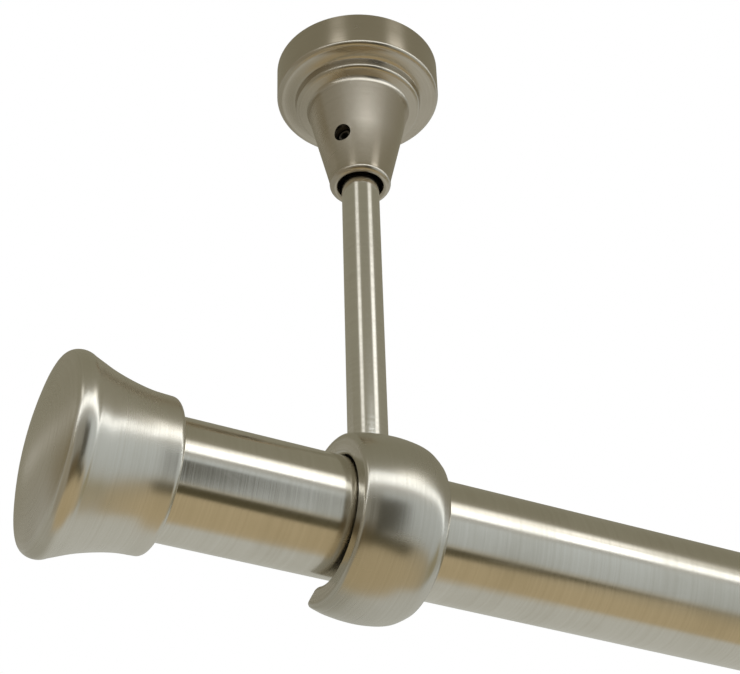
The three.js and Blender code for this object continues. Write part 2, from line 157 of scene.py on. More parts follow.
# Soft-edged patches of light and shade, each laid over the last. Degrees are measured from
# straight in front of the rod towards +X, and up from the level: centre, half, centre, half, soft.
room_patches = [
    ((0.68, 0.68, 0.62), 150, 42, -18, 42, 7),  # pale far wall
    ((0.50, 0.49, 0.42), -155, 38, -20, 38, 7),
    ((0.40, 0.36, 0.27), -88, 30, -18, 34, 8),  # beige curtains
    ((0.40, 0.35, 0.21), 88, 14, -20, 14, 6),
    ((0.36, 0.345, 0.29), -30, 30, -10, 22, 7),  # the dim side of the room
    ((0.16, 0.12, 0.06), -34, 26, -40, 14, 6),
    ((0.10, 0.093, 0.07), 6, 13, -16, 22, 2.5),  # a dark doorway
    ((0.10, 0.085, 0.045), 13, 27, -44, 7.5, 2.5),  # dark furniture, with a pale top
    ((0.70, 0.68, 0.60), 14, 6, -34.5, 1.5, 1.5),
    ((0.24, 0.19, 0.10), -125, 14, 22, 5, 3),  # a beam
    ((0.80, 0.77, 0.69), -141, 28, 32.0, 0.9, 1.2),  # lamps
    ((2.10, 2.05, 1.90), 30, 11, 37.5, 4.5, 5),
    ((1.90, 1.85, 1.70), -51, 9, 38, 4, 5),
]
room_colour = bands.outputs["Color"]
for colour, turn_at, turn_half, height_at, height_half, soft in room_patches:
    mask = sky_math("MULTIPLY", edge_mask(azimuth, turn_at, turn_half, soft),
                    edge_mask(elevation, height_at, height_half, soft))
    patch = sky.nodes.new("ShaderNodeMix")
    patch.data_type = "RGBA"
    patch.inputs["B"].default_value = colour + (1.0,)
    sky.links.new(mask, patch.inputs["Factor"])
    sky.links.new(room_colour, patch.inputs["A"])
    room_colour = patch.outputs["Result"]

room_light = sky.nodes.new("ShaderNodeBackground")
sky.links.new(room_colour, room_light.inputs["Color"])
room_light.inputs["Strength"].default_value = 0.75
white = sky.nodes.new("ShaderNodeBackground")
white.inputs["Color"].default_value = (1.0, 1.0, 1.0, 1.0)
path = sky.nodes.new("ShaderNodeLightPath")
seen = sky.nodes.new("ShaderNodeMixShader")
out = sky.nodes.new("ShaderNodeOutputWorld")
sky.links.new(path.outputs["Is Camera Ray"], seen.inputs[0])
sky.links.new(room_light.outputs[0], seen.inputs[1])
sky.links.new(white.outputs[0], seen.inputs[2])
sky.links.new(seen.outputs[0], out.inputs["Surface"])

# A long strip light in front of the rod draws the bright line along it.
STRIP_FROM_ORIGIN = Vector((0.5, -0.30, 0.022))
STRIP_TILT = 61.0
strip_data = bpy.data.lights.new("strip_light", "AREA")
strip_data.shape = "RECTANGLE"
strip_data.size = 3.4
strip_data.size_y = 0.085
strip_data.energy = 1.3
strip_data.color = (0.95, 0.98, 1.0)
strip = bpy.data.objects.new("strip_light", strip_data)
strip.location = origin + STRIP_FROM_ORIGIN
strip.rotation_euler = (math.radians(STRIP_TILT), 0.0, 0.0)
strip.visible_camera = False
scene.collection.objects.link(strip)


# ---- Tube: thin-walled steel tube, satin nickel plated, cut square and deburred at both ends
# It lies in both rings and runs 20 mm into each end cap. The plating was brushed while the tube
# turned, so its fine lines run round it.
SHARP_EDGE = 32.0
HAIR = 1e-4  # radii closer than this count as the same


def finish_edges(bm):
    """Smooth faces, with a hard edge wherever two of them meet at a sharp angle."""
    for face in bm.faces:
        face.smooth = True
    for edge in bm.edges:
        edge.smooth = len(edge.link_faces) == 2 \
            and edge.calc_face_angle() < math.radians(SHARP_EDGE)


def threaded(radius, station, turn, thread):
    """The radius in mm at a station and a share of a turn, cut back where the thread's groove is."""
    crest, pitch, depth, low, high = thread
    if abs(radius - crest) > HAIR or not low < station < high:
        return radius
    phase = (station / pitch - turn) % 1.0
    run_out = min(station - low, high - station, 1.0)
    return radius - depth * abs(2.0 * phase - 1.0) * run_out


def turned(name, profile, facets, thread=None):
    """A lathe-turned solid on +Z from [radius, station] points in mm, closed or ending on the axis.

    thread is (radius, pitch, depth, low, high): rows at that radius between the two stations
    become a helical thread.
    """
    bm = bmesh.new()
    rows = []
    for radius, station in profile:
        if radius < HAIR:
            rows.append([bm.verts.new((0.0, 0.0, station * MM))])
            continue
        row = []
        for i in range(facets):
            a = 2.0 * math.pi * i / facets
            r = threaded(radius, station, i / facets, thread) if thread else radius
            row.append(bm.verts.new((r * MM * math.cos(a), r * MM * math.sin(a), station * MM)))
        rows.append(row)
    pairs = list(zip(rows, rows[1:]))
    if profile[0][0] >= HAIR:
        pairs.append((rows[-1], rows[0]))
    for low, high in pairs:
        for i in range(facets):
            j = (i + 1) % facets
            if len(low) == 1 and len(high) == 1:
                break
            if len(low) == 1:
                bm.faces.new((low[0], high[j], high[i]))
            elif len(high) == 1:
                bm.faces.new((low[i], low[j], high[0]))
            else:
                bm.faces.new((low[i], low[j], high[j], high[i]))
    bmesh.ops.recalc_face_normals(bm, faces=bm.faces)
    if bm.calc_volume(signed=True) < 0:
        bmesh.ops.reverse_faces(bm, faces=bm.faces)
    finish_edges(bm)
    mesh = bpy.data.meshes.new(name)
    bm.to_mesh(mesh)
    bm.free()
    return mesh


def moved(mesh, *steps):
    for step in steps:
        mesh.transform(step)
    return mesh


def place(mesh, body, node, material):
    """Hands a finished mesh over: the body it rides on, the node it stands in for, its slot."""
    piece = bpy.data.objects.new(mesh.name, mesh)
    scene.collection.objects.link(piece)
    mesh.materials.append(material)
    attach(piece, body)
    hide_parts(node)


def new_group(name, inputs, outputs):
    """A shader node group, with its input and output nodes."""
    group = bpy.data.node_groups.new(name, "ShaderNodeTree")
    for label, kind, value in inputs:
        socket = group.interface.new_socket(label, in_out="INPUT", socket_type="NodeSocket" + kind)
        if value is not None:
            socket.default_value = value
    for label, kind in outputs:
        group.interface.new_socket(label, in_out="OUTPUT", socket_type="NodeSocket" + kind)
    return group, group.nodes.new("NodeGroupInput"), group.nodes.new("NodeGroupOutput")


def wire(tree, kind, settings=None, **links):
    """Adds a node; each link is an input's name (spaces as _) or i and its number, and a socket
    or a value to put there."""
    node = tree.nodes.new(kind)
    for key, value in (settings or {}).items():
        setattr(node, key, value)
    for label, value in links.items():
        socket = node.inputs[int(label[1:])] if label[0] == "i" and label[1:].isdigit() \
            else node.inputs[label.replace("_", " ")]
        if isinstance(value, bpy.types.NodeSocket):
            tree.links.new(value, socket)
        else:
            socket.default_value = value
    return node


def lathe_lines_group():
    """Fine lines that run round an axis, as a brush or a lathe tool leaves them."""
    group, given, result = new_group(
        "lathe_lines",
        [("Position", "Vector", None), ("Axis", "Vector", (0.0, 0.0, 1.0)),
         ("Lines per Metre", "Float", 1400.0), ("Waver", "Float", 0.25)],
        [("Lines", "Float"), ("Bands", "Float")])
    along = wire(group, "ShaderNodeVectorMath", {"operation": "DOT_PRODUCT"},
                 i0=given.outputs["Position"], i1=given.outputs["Axis"]).outputs["Value"]
    shadow = wire(group, "ShaderNodeVectorMath", {"operation": "SCALE"},
                  i0=given.outputs["Axis"], Scale=along).outputs[0]
    radial = wire(group, "ShaderNodeVectorMath", {"operation": "SUBTRACT"},
                  i0=given.outputs["Position"], i1=shadow).outputs[0]
    radius = wire(group, "ShaderNodeVectorMath", {"operation": "LENGTH"},
                  i0=radial).outputs["Value"]
    drift = wire(group, "ShaderNodeTexNoise", Vector=given.outputs["Position"], Scale=180.0,
                 Detail=2.0).outputs[0]
    wave = wire(group, "ShaderNodeMath", {"operation": "MULTIPLY"},
                i0=drift, i1=given.outputs["Waver"]).outputs[0]
    spacing = given.outputs["Lines per Metre"]
    a = wire(group, "ShaderNodeMath", {"operation": "MULTIPLY"}, i0=along, i1=spacing).outputs[0]
    b = wire(group, "ShaderNodeMath", {"operation": "MULTIPLY"}, i0=radius, i1=spacing).outputs[0]
    spot = wire(group, "ShaderNodeCombineXYZ", X=a, Y=b, Z=wave).outputs[0]
    lines = wire(group, "ShaderNodeTexNoise", Vector=spot, Scale=1.0, Detail=5.0, Roughness=0.7)
    broad = wire(group, "ShaderNodeTexNoise", Vector=spot, Scale=0.12, Detail=3.0, Roughness=0.6)
    group.links.new(lines.outputs[0], result.inputs["Lines"])
    group.links.new(broad.outputs[0], result.inputs["Bands"])
    return group


def handling_group():
    """Faint finger smudges, hairline scratches and dust on plated metal."""
    group, given, result = new_group(
        "handling_marks",
        [("Position", "Vector", None), ("Smudge Scale", "Float", 38.0)],
        [("Smudges", "Float"), ("Scratches", "Float"), ("Dust", "Float")])
    cloud = wire(group, "ShaderNodeTexNoise", Vector=given.outputs["Position"],
                 Scale=given.outputs["Smudge Scale"], Detail=4.0, Roughness=0.55).outputs[0]
    smudge = wire(group, "ShaderNodeMapRange", {"interpolation_type": "SMOOTHSTEP"},
                  Value=cloud, From_Min=0.42, From_Max=0.68).outputs[0]
    turned_about = wire(group, "ShaderNodeMapping", Vector=given.outputs["Position"],
                        Rotation=(0.5, 0.9, 0.3), Scale=(28.0, 420.0, 420.0)).outputs[0]
    hair = wire(group, "ShaderNodeTexVoronoi", {"feature": "DISTANCE_TO_EDGE"},
                Vector=turned_about, Scale=1.0).outputs[0]
    fine = wire(group, "ShaderNodeMapRange", Value=hair, From_Min=0.022, From_Max=0.006).outputs[0]
    patchy = wire(group, "ShaderNodeTexNoise", Vector=given.outputs["Position"],
                  Scale=90.0, Detail=1.0).outputs[0]
    some = wire(group, "ShaderNodeMapRange", Value=patchy, From_Min=0.56, From_Max=0.64).outputs[0]
    scratches = wire(group, "ShaderNodeMath", {"operation": "MULTIPLY"}, i0=fine, i1=some)
    grit = wire(group, "ShaderNodeTexNoise", Vector=given.outputs["Position"],
                Scale=2600.0, Detail=2.0).outputs[0]
    dust = wire(group, "ShaderNodeMapRange", Value=grit, From_Min=0.64, From_Max=0.74)
    group.links.new(smudge, result.inputs["Smudges"])
    group.links.new(scratches.outputs[0], result.inputs["Scratches"])
    group.links.new(dust.outputs[0], result.inputs["Dust"])
    return group


lathe_lines = lathe_lines_group()
handling_marks = handling_group()


def plated_metal(name, centre, axis, bright, dull, roughness, spread, lines_per_metre=1400.0,
                 line_depth=0.000012, waver=0.25, metallic=1.0):
    """Turned, plated metal: lathe lines in colour, roughness and bump, with handling marks."""
    material = bpy.data.materials.new(name)
    material.use_nodes = True
    tree = material.node_tree
    shader = tree.nodes["Principled BSDF"]
    spot = wire(tree, "ShaderNodeTexCoord").outputs["Object"]
    local = wire(tree, "ShaderNodeVectorMath", {"operation": "SUBTRACT"},
                 i0=spot, i1=tuple(centre)).outputs[0]
    lines = wire(tree, "ShaderNodeGroup", {"node_tree": lathe_lines}, Position=local, Axis=axis,
                 Lines_per_Metre=lines_per_metre, Waver=waver)
    marks = wire(tree, "ShaderNodeGroup", {"node_tree": handling_marks}, Position=local)
    mixed = wire(tree, "ShaderNodeMath", {"operation": "MULTIPLY_ADD"},
                 i0=marks.outputs["Smudges"], i1=0.35, i2=lines.outputs["Lines"]).outputs[0]
    tone = wire(tree, "ShaderNodeMapRange", Value=mixed, From_Min=0.3, From_Max=0.95).outputs[0]
    colour = wire(tree, "ShaderNodeMix", {"data_type": "RGBA"}, Factor=tone,
                  A=bright + (1.0,), B=dull + (1.0,)).outputs["Result"]
    rough_line = wire(tree, "ShaderNodeMath", {"operation": "MULTIPLY_ADD"},
                      i0=lines.outputs["Lines"], i1=spread, i2=roughness - spread / 2).outputs[0]
    rough_hand = wire(tree, "ShaderNodeMath", {"operation": "MULTIPLY_ADD"},
                      i0=marks.outputs["Smudges"], i1=0.05, i2=rough_line).outputs[0]
    rough = wire(tree, "ShaderNodeMath", {"operation": "MULTIPLY_ADD"},
                 i0=marks.outputs["Scratches"], i1=0.05, i2=rough_hand).outputs[0]
    relief = wire(tree, "ShaderNodeMath", {"operation": "MULTIPLY_ADD"},
                  i0=lines.outputs["Bands"], i1=0.8, i2=lines.outputs["Lines"]).outputs[0]
    height = wire(tree, "ShaderNodeMath", {"operation": "MULTIPLY_ADD"},
                  i0=marks.outputs["Scratches"], i1=-0.12, i2=relief).outputs[0]
    bump = wire(tree, "ShaderNodeBump", Height=height, Strength=1.0, Distance=line_depth)
    tree.links.new(colour, shader.inputs["Base Color"])
    tree.links.new(rough, shader.inputs["Roughness"])
    tree.links.new(bump.outputs[0], shader.inputs["Normal"])
    shader.inputs["Metallic"].default_value = metallic
    return material


NICKEL_BRIGHT = (0.80, 0.775, 0.72)
NICKEL_DULL = (0.70, 0.67, 0.60)
X_AXIS = (1.0, 0.0, 0.0)
Z_AXIS = (0.0, 0.0, 1.0)

tube_low, tube_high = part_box("tube")
rod_axis = Vector((0.0, (tube_low.y + tube_high.y) / 2, (tube_low.z + tube_high.z) / 2))
tube_radius = (tube_high.y - tube_low.y) / 2 / MM
tube_length = (tube_high.x - tube_low.x) / MM
TUBE_WALL = 1.0
DEBURR = 0.2
tube_bore = tube_radius - TUBE_WALL
tube_nickel = plated_metal("brushed_nickel_tube", rod_axis, X_AXIS, NICKEL_BRIGHT, NICKEL_DULL,
                           roughness=0.14, spread=0.10, line_depth=0.000009)
tube = turned("rod_tube", [
    (tube_bore, DEBURR), (tube_bore + DEBURR, 0.0),
    (tube_radius - DEBURR, 0.0), (tube_radius, DEBURR),
    (tube_radius, tube_length - DEBURR), (tube_radius - DEBURR, tube_length),
    (tube_bore + DEBURR, tube_length), (tube_bore, tube_length - DEBURR),
], facets=256)
tube = moved(tube, Matrix.Rotation(math.radians(90.0), 4, "Y"),
             Matrix.Translation((tube_low.x, rod_axis.y, rod_axis.z)))
place(tube, "rod", "tube", tube_nickel)


# ---- Ceiling plates: zinc-plated turned steel discs, each with a tapped hub for the stem
# Three countersunk holes take the fixings into the ceiling. The rosette hides the plate in use.
def carve(mesh, *tools):
    """Cuts the tool meshes out of a mesh, and marks the new hard edges."""
    body = bpy.data.objects.new("carving", mesh)
    scene.collection.objects.link(body)
    cutters = []
    for number, tool in enumerate(tools):
        cutter = bpy.data.objects.new("cutter_%d" % number, tool)
        scene.collection.objects.link(cutter)
        cutters.append(cutter)
        step = body.modifiers.new("cut_%d" % number, "BOOLEAN")
        step.operation = "DIFFERENCE"
        step.solver = "EXACT"
        step.object = cutter
    graph = bpy.context.evaluated_depsgraph_get()
    result = bpy.data.meshes.new_from_object(body.evaluated_get(graph))
    for thing in (body, *cutters):
        bpy.data.objects.remove(thing)
    name = mesh.name
    bpy.data.meshes.remove(mesh)
    for tool in tools:
        bpy.data.meshes.remove(tool)
    bm = bmesh.new()
    bm.from_mesh(result)
    finish_edges(bm)
    bm.to_mesh(result)
    bm.free()
    result.name = name
    return result


def rod_between(radius, low, high, sides=48):
    """A plain cutting tool on +Z, in mm."""
    return turned("tool", [(0.0, low), (radius, low), (radius, high), (0.0, high)], facets=sides)


def hexagon(across_flats, low, high):
    return rod_between(across_flats / math.sqrt(3.0), low, high, sides=6)


ZINC_BRIGHT = (0.66, 0.68, 0.70)
ZINC_DULL = (0.48, 0.50, 0.53)
zinc = plated_metal("zinc_plated_steel", (0.0, 0.0, 0.0), Z_AXIS, ZINC_BRIGHT, ZINC_DULL,
                    roughness=0.36, spread=0.2, lines_per_metre=900.0, line_depth=0.00002,
                    waver=1.4)
PLATE_THICK = 3.0
HUB_RADIUS = 7.5
HUB_DEPTH = 12.0
HUB_ROOF = 4.0
THREAD_HOLE = 3.0
FIXING_HOLE = 2.3
FIXING_HEAD = 4.2
HUB_EDGE = 0.8
HUB_FOOT = 1.0
PLATE_EDGE = 0.5
PAST = 1.0  # how far a cutting tool runs clear of what it cuts
for side in SIDES:
    low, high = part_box("ceiling_plate_" + side)
    plate_radius = (high.y - low.y) / 2 / MM
    pitch_radius = (plate_radius + HUB_RADIUS) / 2
    at = Vector(((low.x + high.x) / 2, (low.y + high.y) / 2, high.z))
    disc = turned("ceiling_disc_" + side, [
        (0.0, -HUB_DEPTH), (HUB_RADIUS - HUB_EDGE, -HUB_DEPTH),
        (HUB_RADIUS - HUB_EDGE / 4, -HUB_DEPTH + 0.3),
        (HUB_RADIUS, -HUB_DEPTH + HUB_EDGE), (HUB_RADIUS, -PLATE_THICK - HUB_FOOT),
        (HUB_RADIUS + 0.3, -PLATE_THICK - 0.3), (HUB_RADIUS + HUB_FOOT, -PLATE_THICK),
        (plate_radius - PLATE_EDGE, -PLATE_THICK), (plate_radius, -PLATE_THICK + PLATE_EDGE),
        (plate_radius, 0.0), (0.0, 0.0),
    ], facets=128)
    holes = [rod_between(THREAD_HOLE, -HUB_DEPTH - PAST, -HUB_ROOF)]
    for angle in (90.0, 210.0, 330.0):
        hole = turned("tool", [
            (0.0, -PLATE_THICK - PAST), (FIXING_HEAD, -PLATE_THICK - PAST),
            (FIXING_HEAD, -PLATE_THICK), (FIXING_HOLE, -PLATE_THICK + FIXING_HEAD - FIXING_HOLE),
            (FIXING_HOLE, PAST), (0.0, PAST)], facets=48)
        out_by = Vector((pitch_radius * MM, 0.0, 0.0))
        holes.append(moved(hole, Matrix.Translation(out_by),
                           Matrix.Rotation(math.radians(angle), 4, "Z")))
    disc = moved(carve(disc, *holes), Matrix.Translation(at))
    place(disc, "brackets", "ceiling_plate_" + side, zinc)


# ---- Stem studs: short lengths of threaded steel rod
# Each one is screwed into the plate's hub and then into the top of the stem.
def threaded_outline(radius, low, high, step=0.12, cut=0.5):
    """Rows close enough together to hold a thread, with a chamfer at both ends."""
    rows = int((high - low - 2 * cut) / step)
    body = [(radius, low + cut + (high - low - 2 * cut) * i / rows) for i in range(rows + 1)]
    return [(0.0, low), (radius - cut, low), *body, (radius - cut, high), (0.0, high)]


SCREW_BRIGHT = (0.62, 0.62, 0.61)
SCREW_DULL = (0.42, 0.42, 0.42)
screw_steel = plated_metal("zinc_screw_steel", (0.0, 0.0, 0.0), Z_AXIS, SCREW_BRIGHT, SCREW_DULL,
                           roughness=0.30, spread=0.16, lines_per_metre=2500.0,
                           line_depth=0.000008, waver=2.0)
STUD_PITCH = 1.0
STUD_THREAD_DEPTH = 0.55
THREAD_START = 0.5  # plain length before a thread
for side in SIDES:
    low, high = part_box("stem_stud_" + side)
    radius = (high.y - low.y) / 2 / MM
    length = (high.z - low.z) / MM
    stud = turned("threaded_stud_" + side, threaded_outline(radius, 0.0, length), facets=48,
                  thread=(radius, STUD_PITCH, STUD_THREAD_DEPTH, THREAD_START,
                          length - THREAD_START))
    at = Vector(((low.x + high.x) / 2, (low.y + high.y) / 2, low.z))
    place(moved(stud, Matrix.Translation(at)), "brackets", "stem_stud_" + side,
          screw_steel)


# ---- Stems: solid turned bars, satin nickel plated, tapped at both ends
# The top end takes the stud, and the bottom end takes the screw that holds the ring.
STEM_BRIGHT = (0.86, 0.85, 0.82)
STEM_DULL = (0.76, 0.745, 0.70)
STEM_CHAMFER = 0.4
SCREW_HOLE = 2.5
END_GAP = 0.3  # between a screw's end and the bottom of its hole
for side in SIDES:
    low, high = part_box("stem_" + side)
    stud_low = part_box("stem_stud_" + side)[0]
    screw_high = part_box("ring_screw_" + side)[1]
    radius = (high.y - low.y) / 2 / MM
    length = (high.z - low.z) / MM
    upper = (stud_low.z - low.z) / MM - END_GAP
    lower = (screw_high.z - low.z) / MM + END_GAP
    at = Vector(((low.x + high.x) / 2, (low.y + high.y) / 2, low.z))
    stem_nickel = plated_metal("brushed_nickel_stem_" + side, at, Z_AXIS, STEM_BRIGHT, STEM_DULL,
                               roughness=0.16, spread=0.10)
    bar = turned("stem_bar_" + side, [
        (0.0, lower), (SCREW_HOLE, lower), (SCREW_HOLE, 0.0), (radius - STEM_CHAMFER, 0.0),
        (radius, STEM_CHAMFER), (radius, length - STEM_CHAMFER),
        (radius - STEM_CHAMFER, length), (THREAD_HOLE, length), (THREAD_HOLE, upper),
        (0.0, upper),
    ], facets=96)
    bar = moved(bar, Matrix.Translation(at))
    place(bar, "brackets", "stem_" + side, stem_nickel)


# ---- Rosettes: turned covers with a stepped rim and a cone that slides on the stem
# Each hides a ceiling plate, and its small grub screw holds it up against the ceiling.
def arc(cx, cy, radius, start, end, steps):
    """Points along an arc, from one angle to the other in degrees."""
    points = []
    for i in range(steps + 1):
        a = math.radians(start + (end - start) * i / steps)
        points.append((cx + radius * math.cos(a), cy + radius * math.sin(a)))
    return points


def stand_along(way):
    """Turns +Z onto a direction."""
    return Vector((0.0, 0.0, 1.0)).rotation_difference(way).to_matrix().to_4x4()


def travel(body):
    """The way a body slides out, from its joint."""
    joints = frame["record"]["behaviour"]["joints"]
    return Vector(next(joint["axis"] for joint in joints if joint["child"] == body))


ROSETTE_BRIGHT = (0.64, 0.59, 0.51)
ROSETTE_DULL = (0.555, 0.508, 0.43)
ROSETTE_WALL = 1.5
RIM_HEIGHT = 9.4
STEP_IN = 5.0
STEP_BOTTOM = 14.2
CONE_TOP = 15.2
CONE_TOP_RADIUS = 13.3
CONE_END_RADIUS = 7.9
MOUTH_RADIUS = 5.8
MOUTH_DEPTH = 2.5
MOUTH_INNER_ROUND = 0.9
MOUTH_OUTER_ROUND = 1.4
STEP_ROUND = 1.2
RIM_CORNER = 1.4
CEILING_EDGE = 0.4
GUIDE_TOP = 25.0
GRUB_HOLE = 2.3
for side in SIDES:
    low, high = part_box("rosette_" + side)
    rim = (high.y - low.y) / 2 / MM
    step = rim - STEP_IN
    height = (high.z - low.z) / MM
    cone_end = height - MOUTH_DEPTH
    slope = (CONE_TOP_RADIUS - CONE_END_RADIUS) / (cone_end - CONE_TOP)
    inner = CONE_TOP_RADIUS - ROSETTE_WALL
    inner_drop = (GUIDE_TOP - CONE_TOP) * 0.45
    at = Vector(((low.x + high.x) / 2, (low.y + high.y) / 2, high.z))
    cover = turned("rosette_cover_" + side, [
        (MOUTH_RADIUS, -GUIDE_TOP),
        (MOUTH_RADIUS, 0.6 - height),
        *arc(MOUTH_RADIUS + MOUTH_INNER_ROUND, MOUTH_INNER_ROUND - height, MOUTH_INNER_ROUND,
             190, 270, 6),
        *arc(CONE_END_RADIUS - MOUTH_OUTER_ROUND, MOUTH_OUTER_ROUND - height,
             MOUTH_OUTER_ROUND, 275, 360, 8),
        (CONE_END_RADIUS, -cone_end),
        (CONE_END_RADIUS + slope * (cone_end - CONE_TOP) * 0.5,
         -(CONE_TOP + (cone_end - CONE_TOP) * 0.5)),
        (CONE_TOP_RADIUS - slope, -CONE_TOP - 1.0),
        (CONE_TOP_RADIUS, -CONE_TOP),
        (CONE_TOP_RADIUS + 0.3, -CONE_TOP + 0.4),
        (step - 2.3, -STEP_BOTTOM - 0.5),
        *arc(step - STEP_ROUND, 0.9 - STEP_BOTTOM, STEP_ROUND, 275, 358, 8),
        (step + 0.2, -RIM_HEIGHT - 2.2),
        (step + 1.0, -RIM_HEIGHT - 1.7),
        *arc(rim - RIM_CORNER, -RIM_HEIGHT - 0.2, RIM_CORNER, 265, 360, 10),
        (rim, -RIM_HEIGHT * 0.5),
        (rim, -CEILING_EDGE),
        (rim - CEILING_EDGE, 0.0),
        (rim - ROSETTE_WALL, 0.0),
        (rim - ROSETTE_WALL, 0.8 - RIM_HEIGHT),
        (step - ROSETTE_WALL, -0.4 - RIM_HEIGHT),
        (step - ROSETTE_WALL, ROSETTE_WALL - STEP_BOTTOM),
        (inner, ROSETTE_WALL - CONE_TOP),
        (inner - slope * inner_drop, -CONE_TOP - inner_drop),
    ], facets=192)
    grub_low, grub_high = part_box("rosette_grub_screw_" + side)
    grub_at = (grub_low + grub_high) / 2 - at
    bore = moved(rod_between(GRUB_HOLE, 0.0, rim), stand_along(travel("rosette_screw_" + side)),
                 Matrix.Translation((0.0, 0.0, grub_at.z)))
    cover = moved(carve(cover, bore), Matrix.Translation(at))
    rosette_nickel = plated_metal("turned_nickel_rosette_" + side, at, Z_AXIS, ROSETTE_BRIGHT,
                                  ROSETTE_DULL, roughness=0.22, spread=0.10,
                                  lines_per_metre=1900.0, line_depth=0.000006)
    place(cover, "rosette_" + side, "rosette_" + side, rosette_nickel)


# ---- Grub screws: black-oxide steel, M4, with a hexagon socket and a bevelled tip
# One in each rosette's cone bears on the stem, and one in each ring's upper arm bears on the tube.
OXIDE_BRIGHT = (0.13, 0.12, 0.105)
OXIDE_DULL = (0.05, 0.046, 0.042)
black_oxide = plated_metal("black_oxide_steel", (0.0, 0.0, 0.0), Z_AXIS, OXIDE_BRIGHT, OXIDE_DULL,
                           roughness=0.42, spread=0.2, lines_per_metre=2500.0,
                           line_depth=0.00001, waver=2.0, metallic=0.85)
GRUB_RADIUS = 2.0
GRUB_PITCH = 0.7
GRUB_THREAD_DEPTH = 0.35
GRUB_FLATS = 2.0
GRUB_SOCKET_DEPTH = 2.0


def grub_screw(node, body, side):
    way = travel(body + side)
    low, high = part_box(node + side)
    # A slanted bar's box holds its length along the bar and its radius across it.
    long_side, lean = (high.z - low.z, way.z) if abs(way.z) > 0.5 else (high.x - low.x, way.x)
    lean = abs(lean)
    length = (long_side / MM - 2.0 * GRUB_RADIUS * math.sqrt(1.0 - lean * lean)) / lean
    screw = turned(node + "m4_" + side, threaded_outline(GRUB_RADIUS, 0.0, length, 0.1, 0.45),
                   facets=40, thread=(GRUB_RADIUS, GRUB_PITCH, GRUB_THREAD_DEPTH, THREAD_START,
                                      length - THREAD_START))
    screw = carve(screw, hexagon(GRUB_FLATS, length - GRUB_SOCKET_DEPTH, length + PAST))
    screw = moved(screw, Matrix.Translation((0.0, 0.0, -length / 2 * MM)), stand_along(way),
                  Matrix.Translation((low + high) / 2))
    place(screw, body + side, node + side, black_oxide)


for side in SIDES:
    grub_screw("rosette_grub_screw_", "rosette_screw_", side)
    grub_screw("clamp_grub_screw_", "clamp_screw_", side)


# ---- Rod rings: C-shaped barrels turned from solid bar and then cut open behind the tube
# The tube is slid in from the end. A lip holds it from below, and the stem's screw and the clamp
# screw go through the arm above it. All the cut edges are rounded over.
RING_BRIGHT = (0.735, 0.715, 0.665)
RING_DULL = (0.64, 0.615, 0.55)
RING_BORE = 14.95
LIP_END = 37.5
LIP_FALL = 16.0
LIP_NOSE = 2.8
ARM_END = 130.0
EDGE_ROUND = 0.9
BORE_ROUND = 1.2
FACE_ROUND = 1.2
# In from the left face, and down from the crown, along the barrel's outside.
CROWN_RUN = [(1.4, 1.28), (4.0, 0.62), (7.9, 0.12), (11.9, 0.0), (15.9, 0.4), (18.45, 1.1),
             (20.3, 2.2)]
# In from the right face, and down from the crown, round the fuller edge.
RIGHT_RUN = [(0.55, 2.85), (0.2, 3.5), (0.0, 4.3)]
STEM_SEAT = RING_BORE + 4.0
HEAD_SEAT = RING_BORE + 0.2
SOCKET_PLAY = 0.12
RING_HEAD_SINK = 4.7


def smooth_through(knots, steps):
    """A Catmull-Rom curve through 2-D points."""
    ends = [tuple(2 * a - b for a, b in zip(knots[0], knots[1])),
            tuple(2 * a - b for a, b in zip(knots[-1], knots[-2]))]
    held = [ends[0], *knots, ends[1]]
    points = []
    for p, q, r, s in zip(held, held[1:], held[2:], held[3:]):
        for i in range(steps):
            t = i / steps
            points.append(tuple(
                0.5 * (2 * b + (c - a) * t + (2 * a - 5 * b + 4 * c - d) * t * t
                       + (3 * b - a - 3 * c + d) * t ** 3)
                for a, b, c, d in zip(p, q, r, s)))
    return [*points, knots[-1]]


def lip_curve(ring_radius):
    """[radius, degrees past straight down] along the lip's end face and round its nose."""
    middle = (ring_radius + RING_BORE) / 2
    y, z = middle * math.sin(math.radians(LIP_END)), -middle * math.cos(math.radians(LIP_END))
    fall = math.radians(LIP_FALL)
    nose = arc(y - LIP_NOSE * math.sin(fall), z - LIP_NOSE * math.cos(fall), LIP_NOSE,
               90.0 - LIP_FALL, -62.0, 14)
    level_run = [(y * share_of, z + y * (1.0 - share_of) * math.tan(fall))
                 for share_of in (0.4, 0.6, 0.8, 0.9)]
    return [(math.hypot(a, b), math.degrees(math.atan2(a, -b))) for a, b in (*level_run, *nose)]


def lip_angle(curve, radius):
    """Degrees past straight down where the lip ends, at one radius."""
    for (r0, a0), (r1, a1) in zip(curve, curve[1:]):
        if radius <= r1:
            return a0 + (a1 - a0) * (radius - r0) / (r1 - r0)
    return curve[-1][1]


def ring_outline(left, right, ring_radius):
    """Outer run from the left face over the crown to the right face, and the bore's run back."""
    crown = smooth_through([(left + across, ring_radius - down) for across, down in CROWN_RUN], 5)
    corner = arc(left + FACE_ROUND, ring_radius - 2.6, FACE_ROUND, 180, 108, 6)
    bore_edge = arc(left + BORE_ROUND, RING_BORE + BORE_ROUND, BORE_ROUND, 255, 180, 6)
    outer = [*bore_edge, (left, RING_BORE + 2 * BORE_ROUND), (left, ring_radius - 3.1),
             *corner, *crown,
             *[(right - across, ring_radius - down) for across, down in RIGHT_RUN],
             (right, RING_BORE + 1.6), (right, RING_BORE + 0.6)]
    count = len(outer)
    start, end = right - 0.5, left + 1.4
    bore = [(start + (end - start) * i / (count - 1), RING_BORE) for i in range(count)]
    return outer, bore


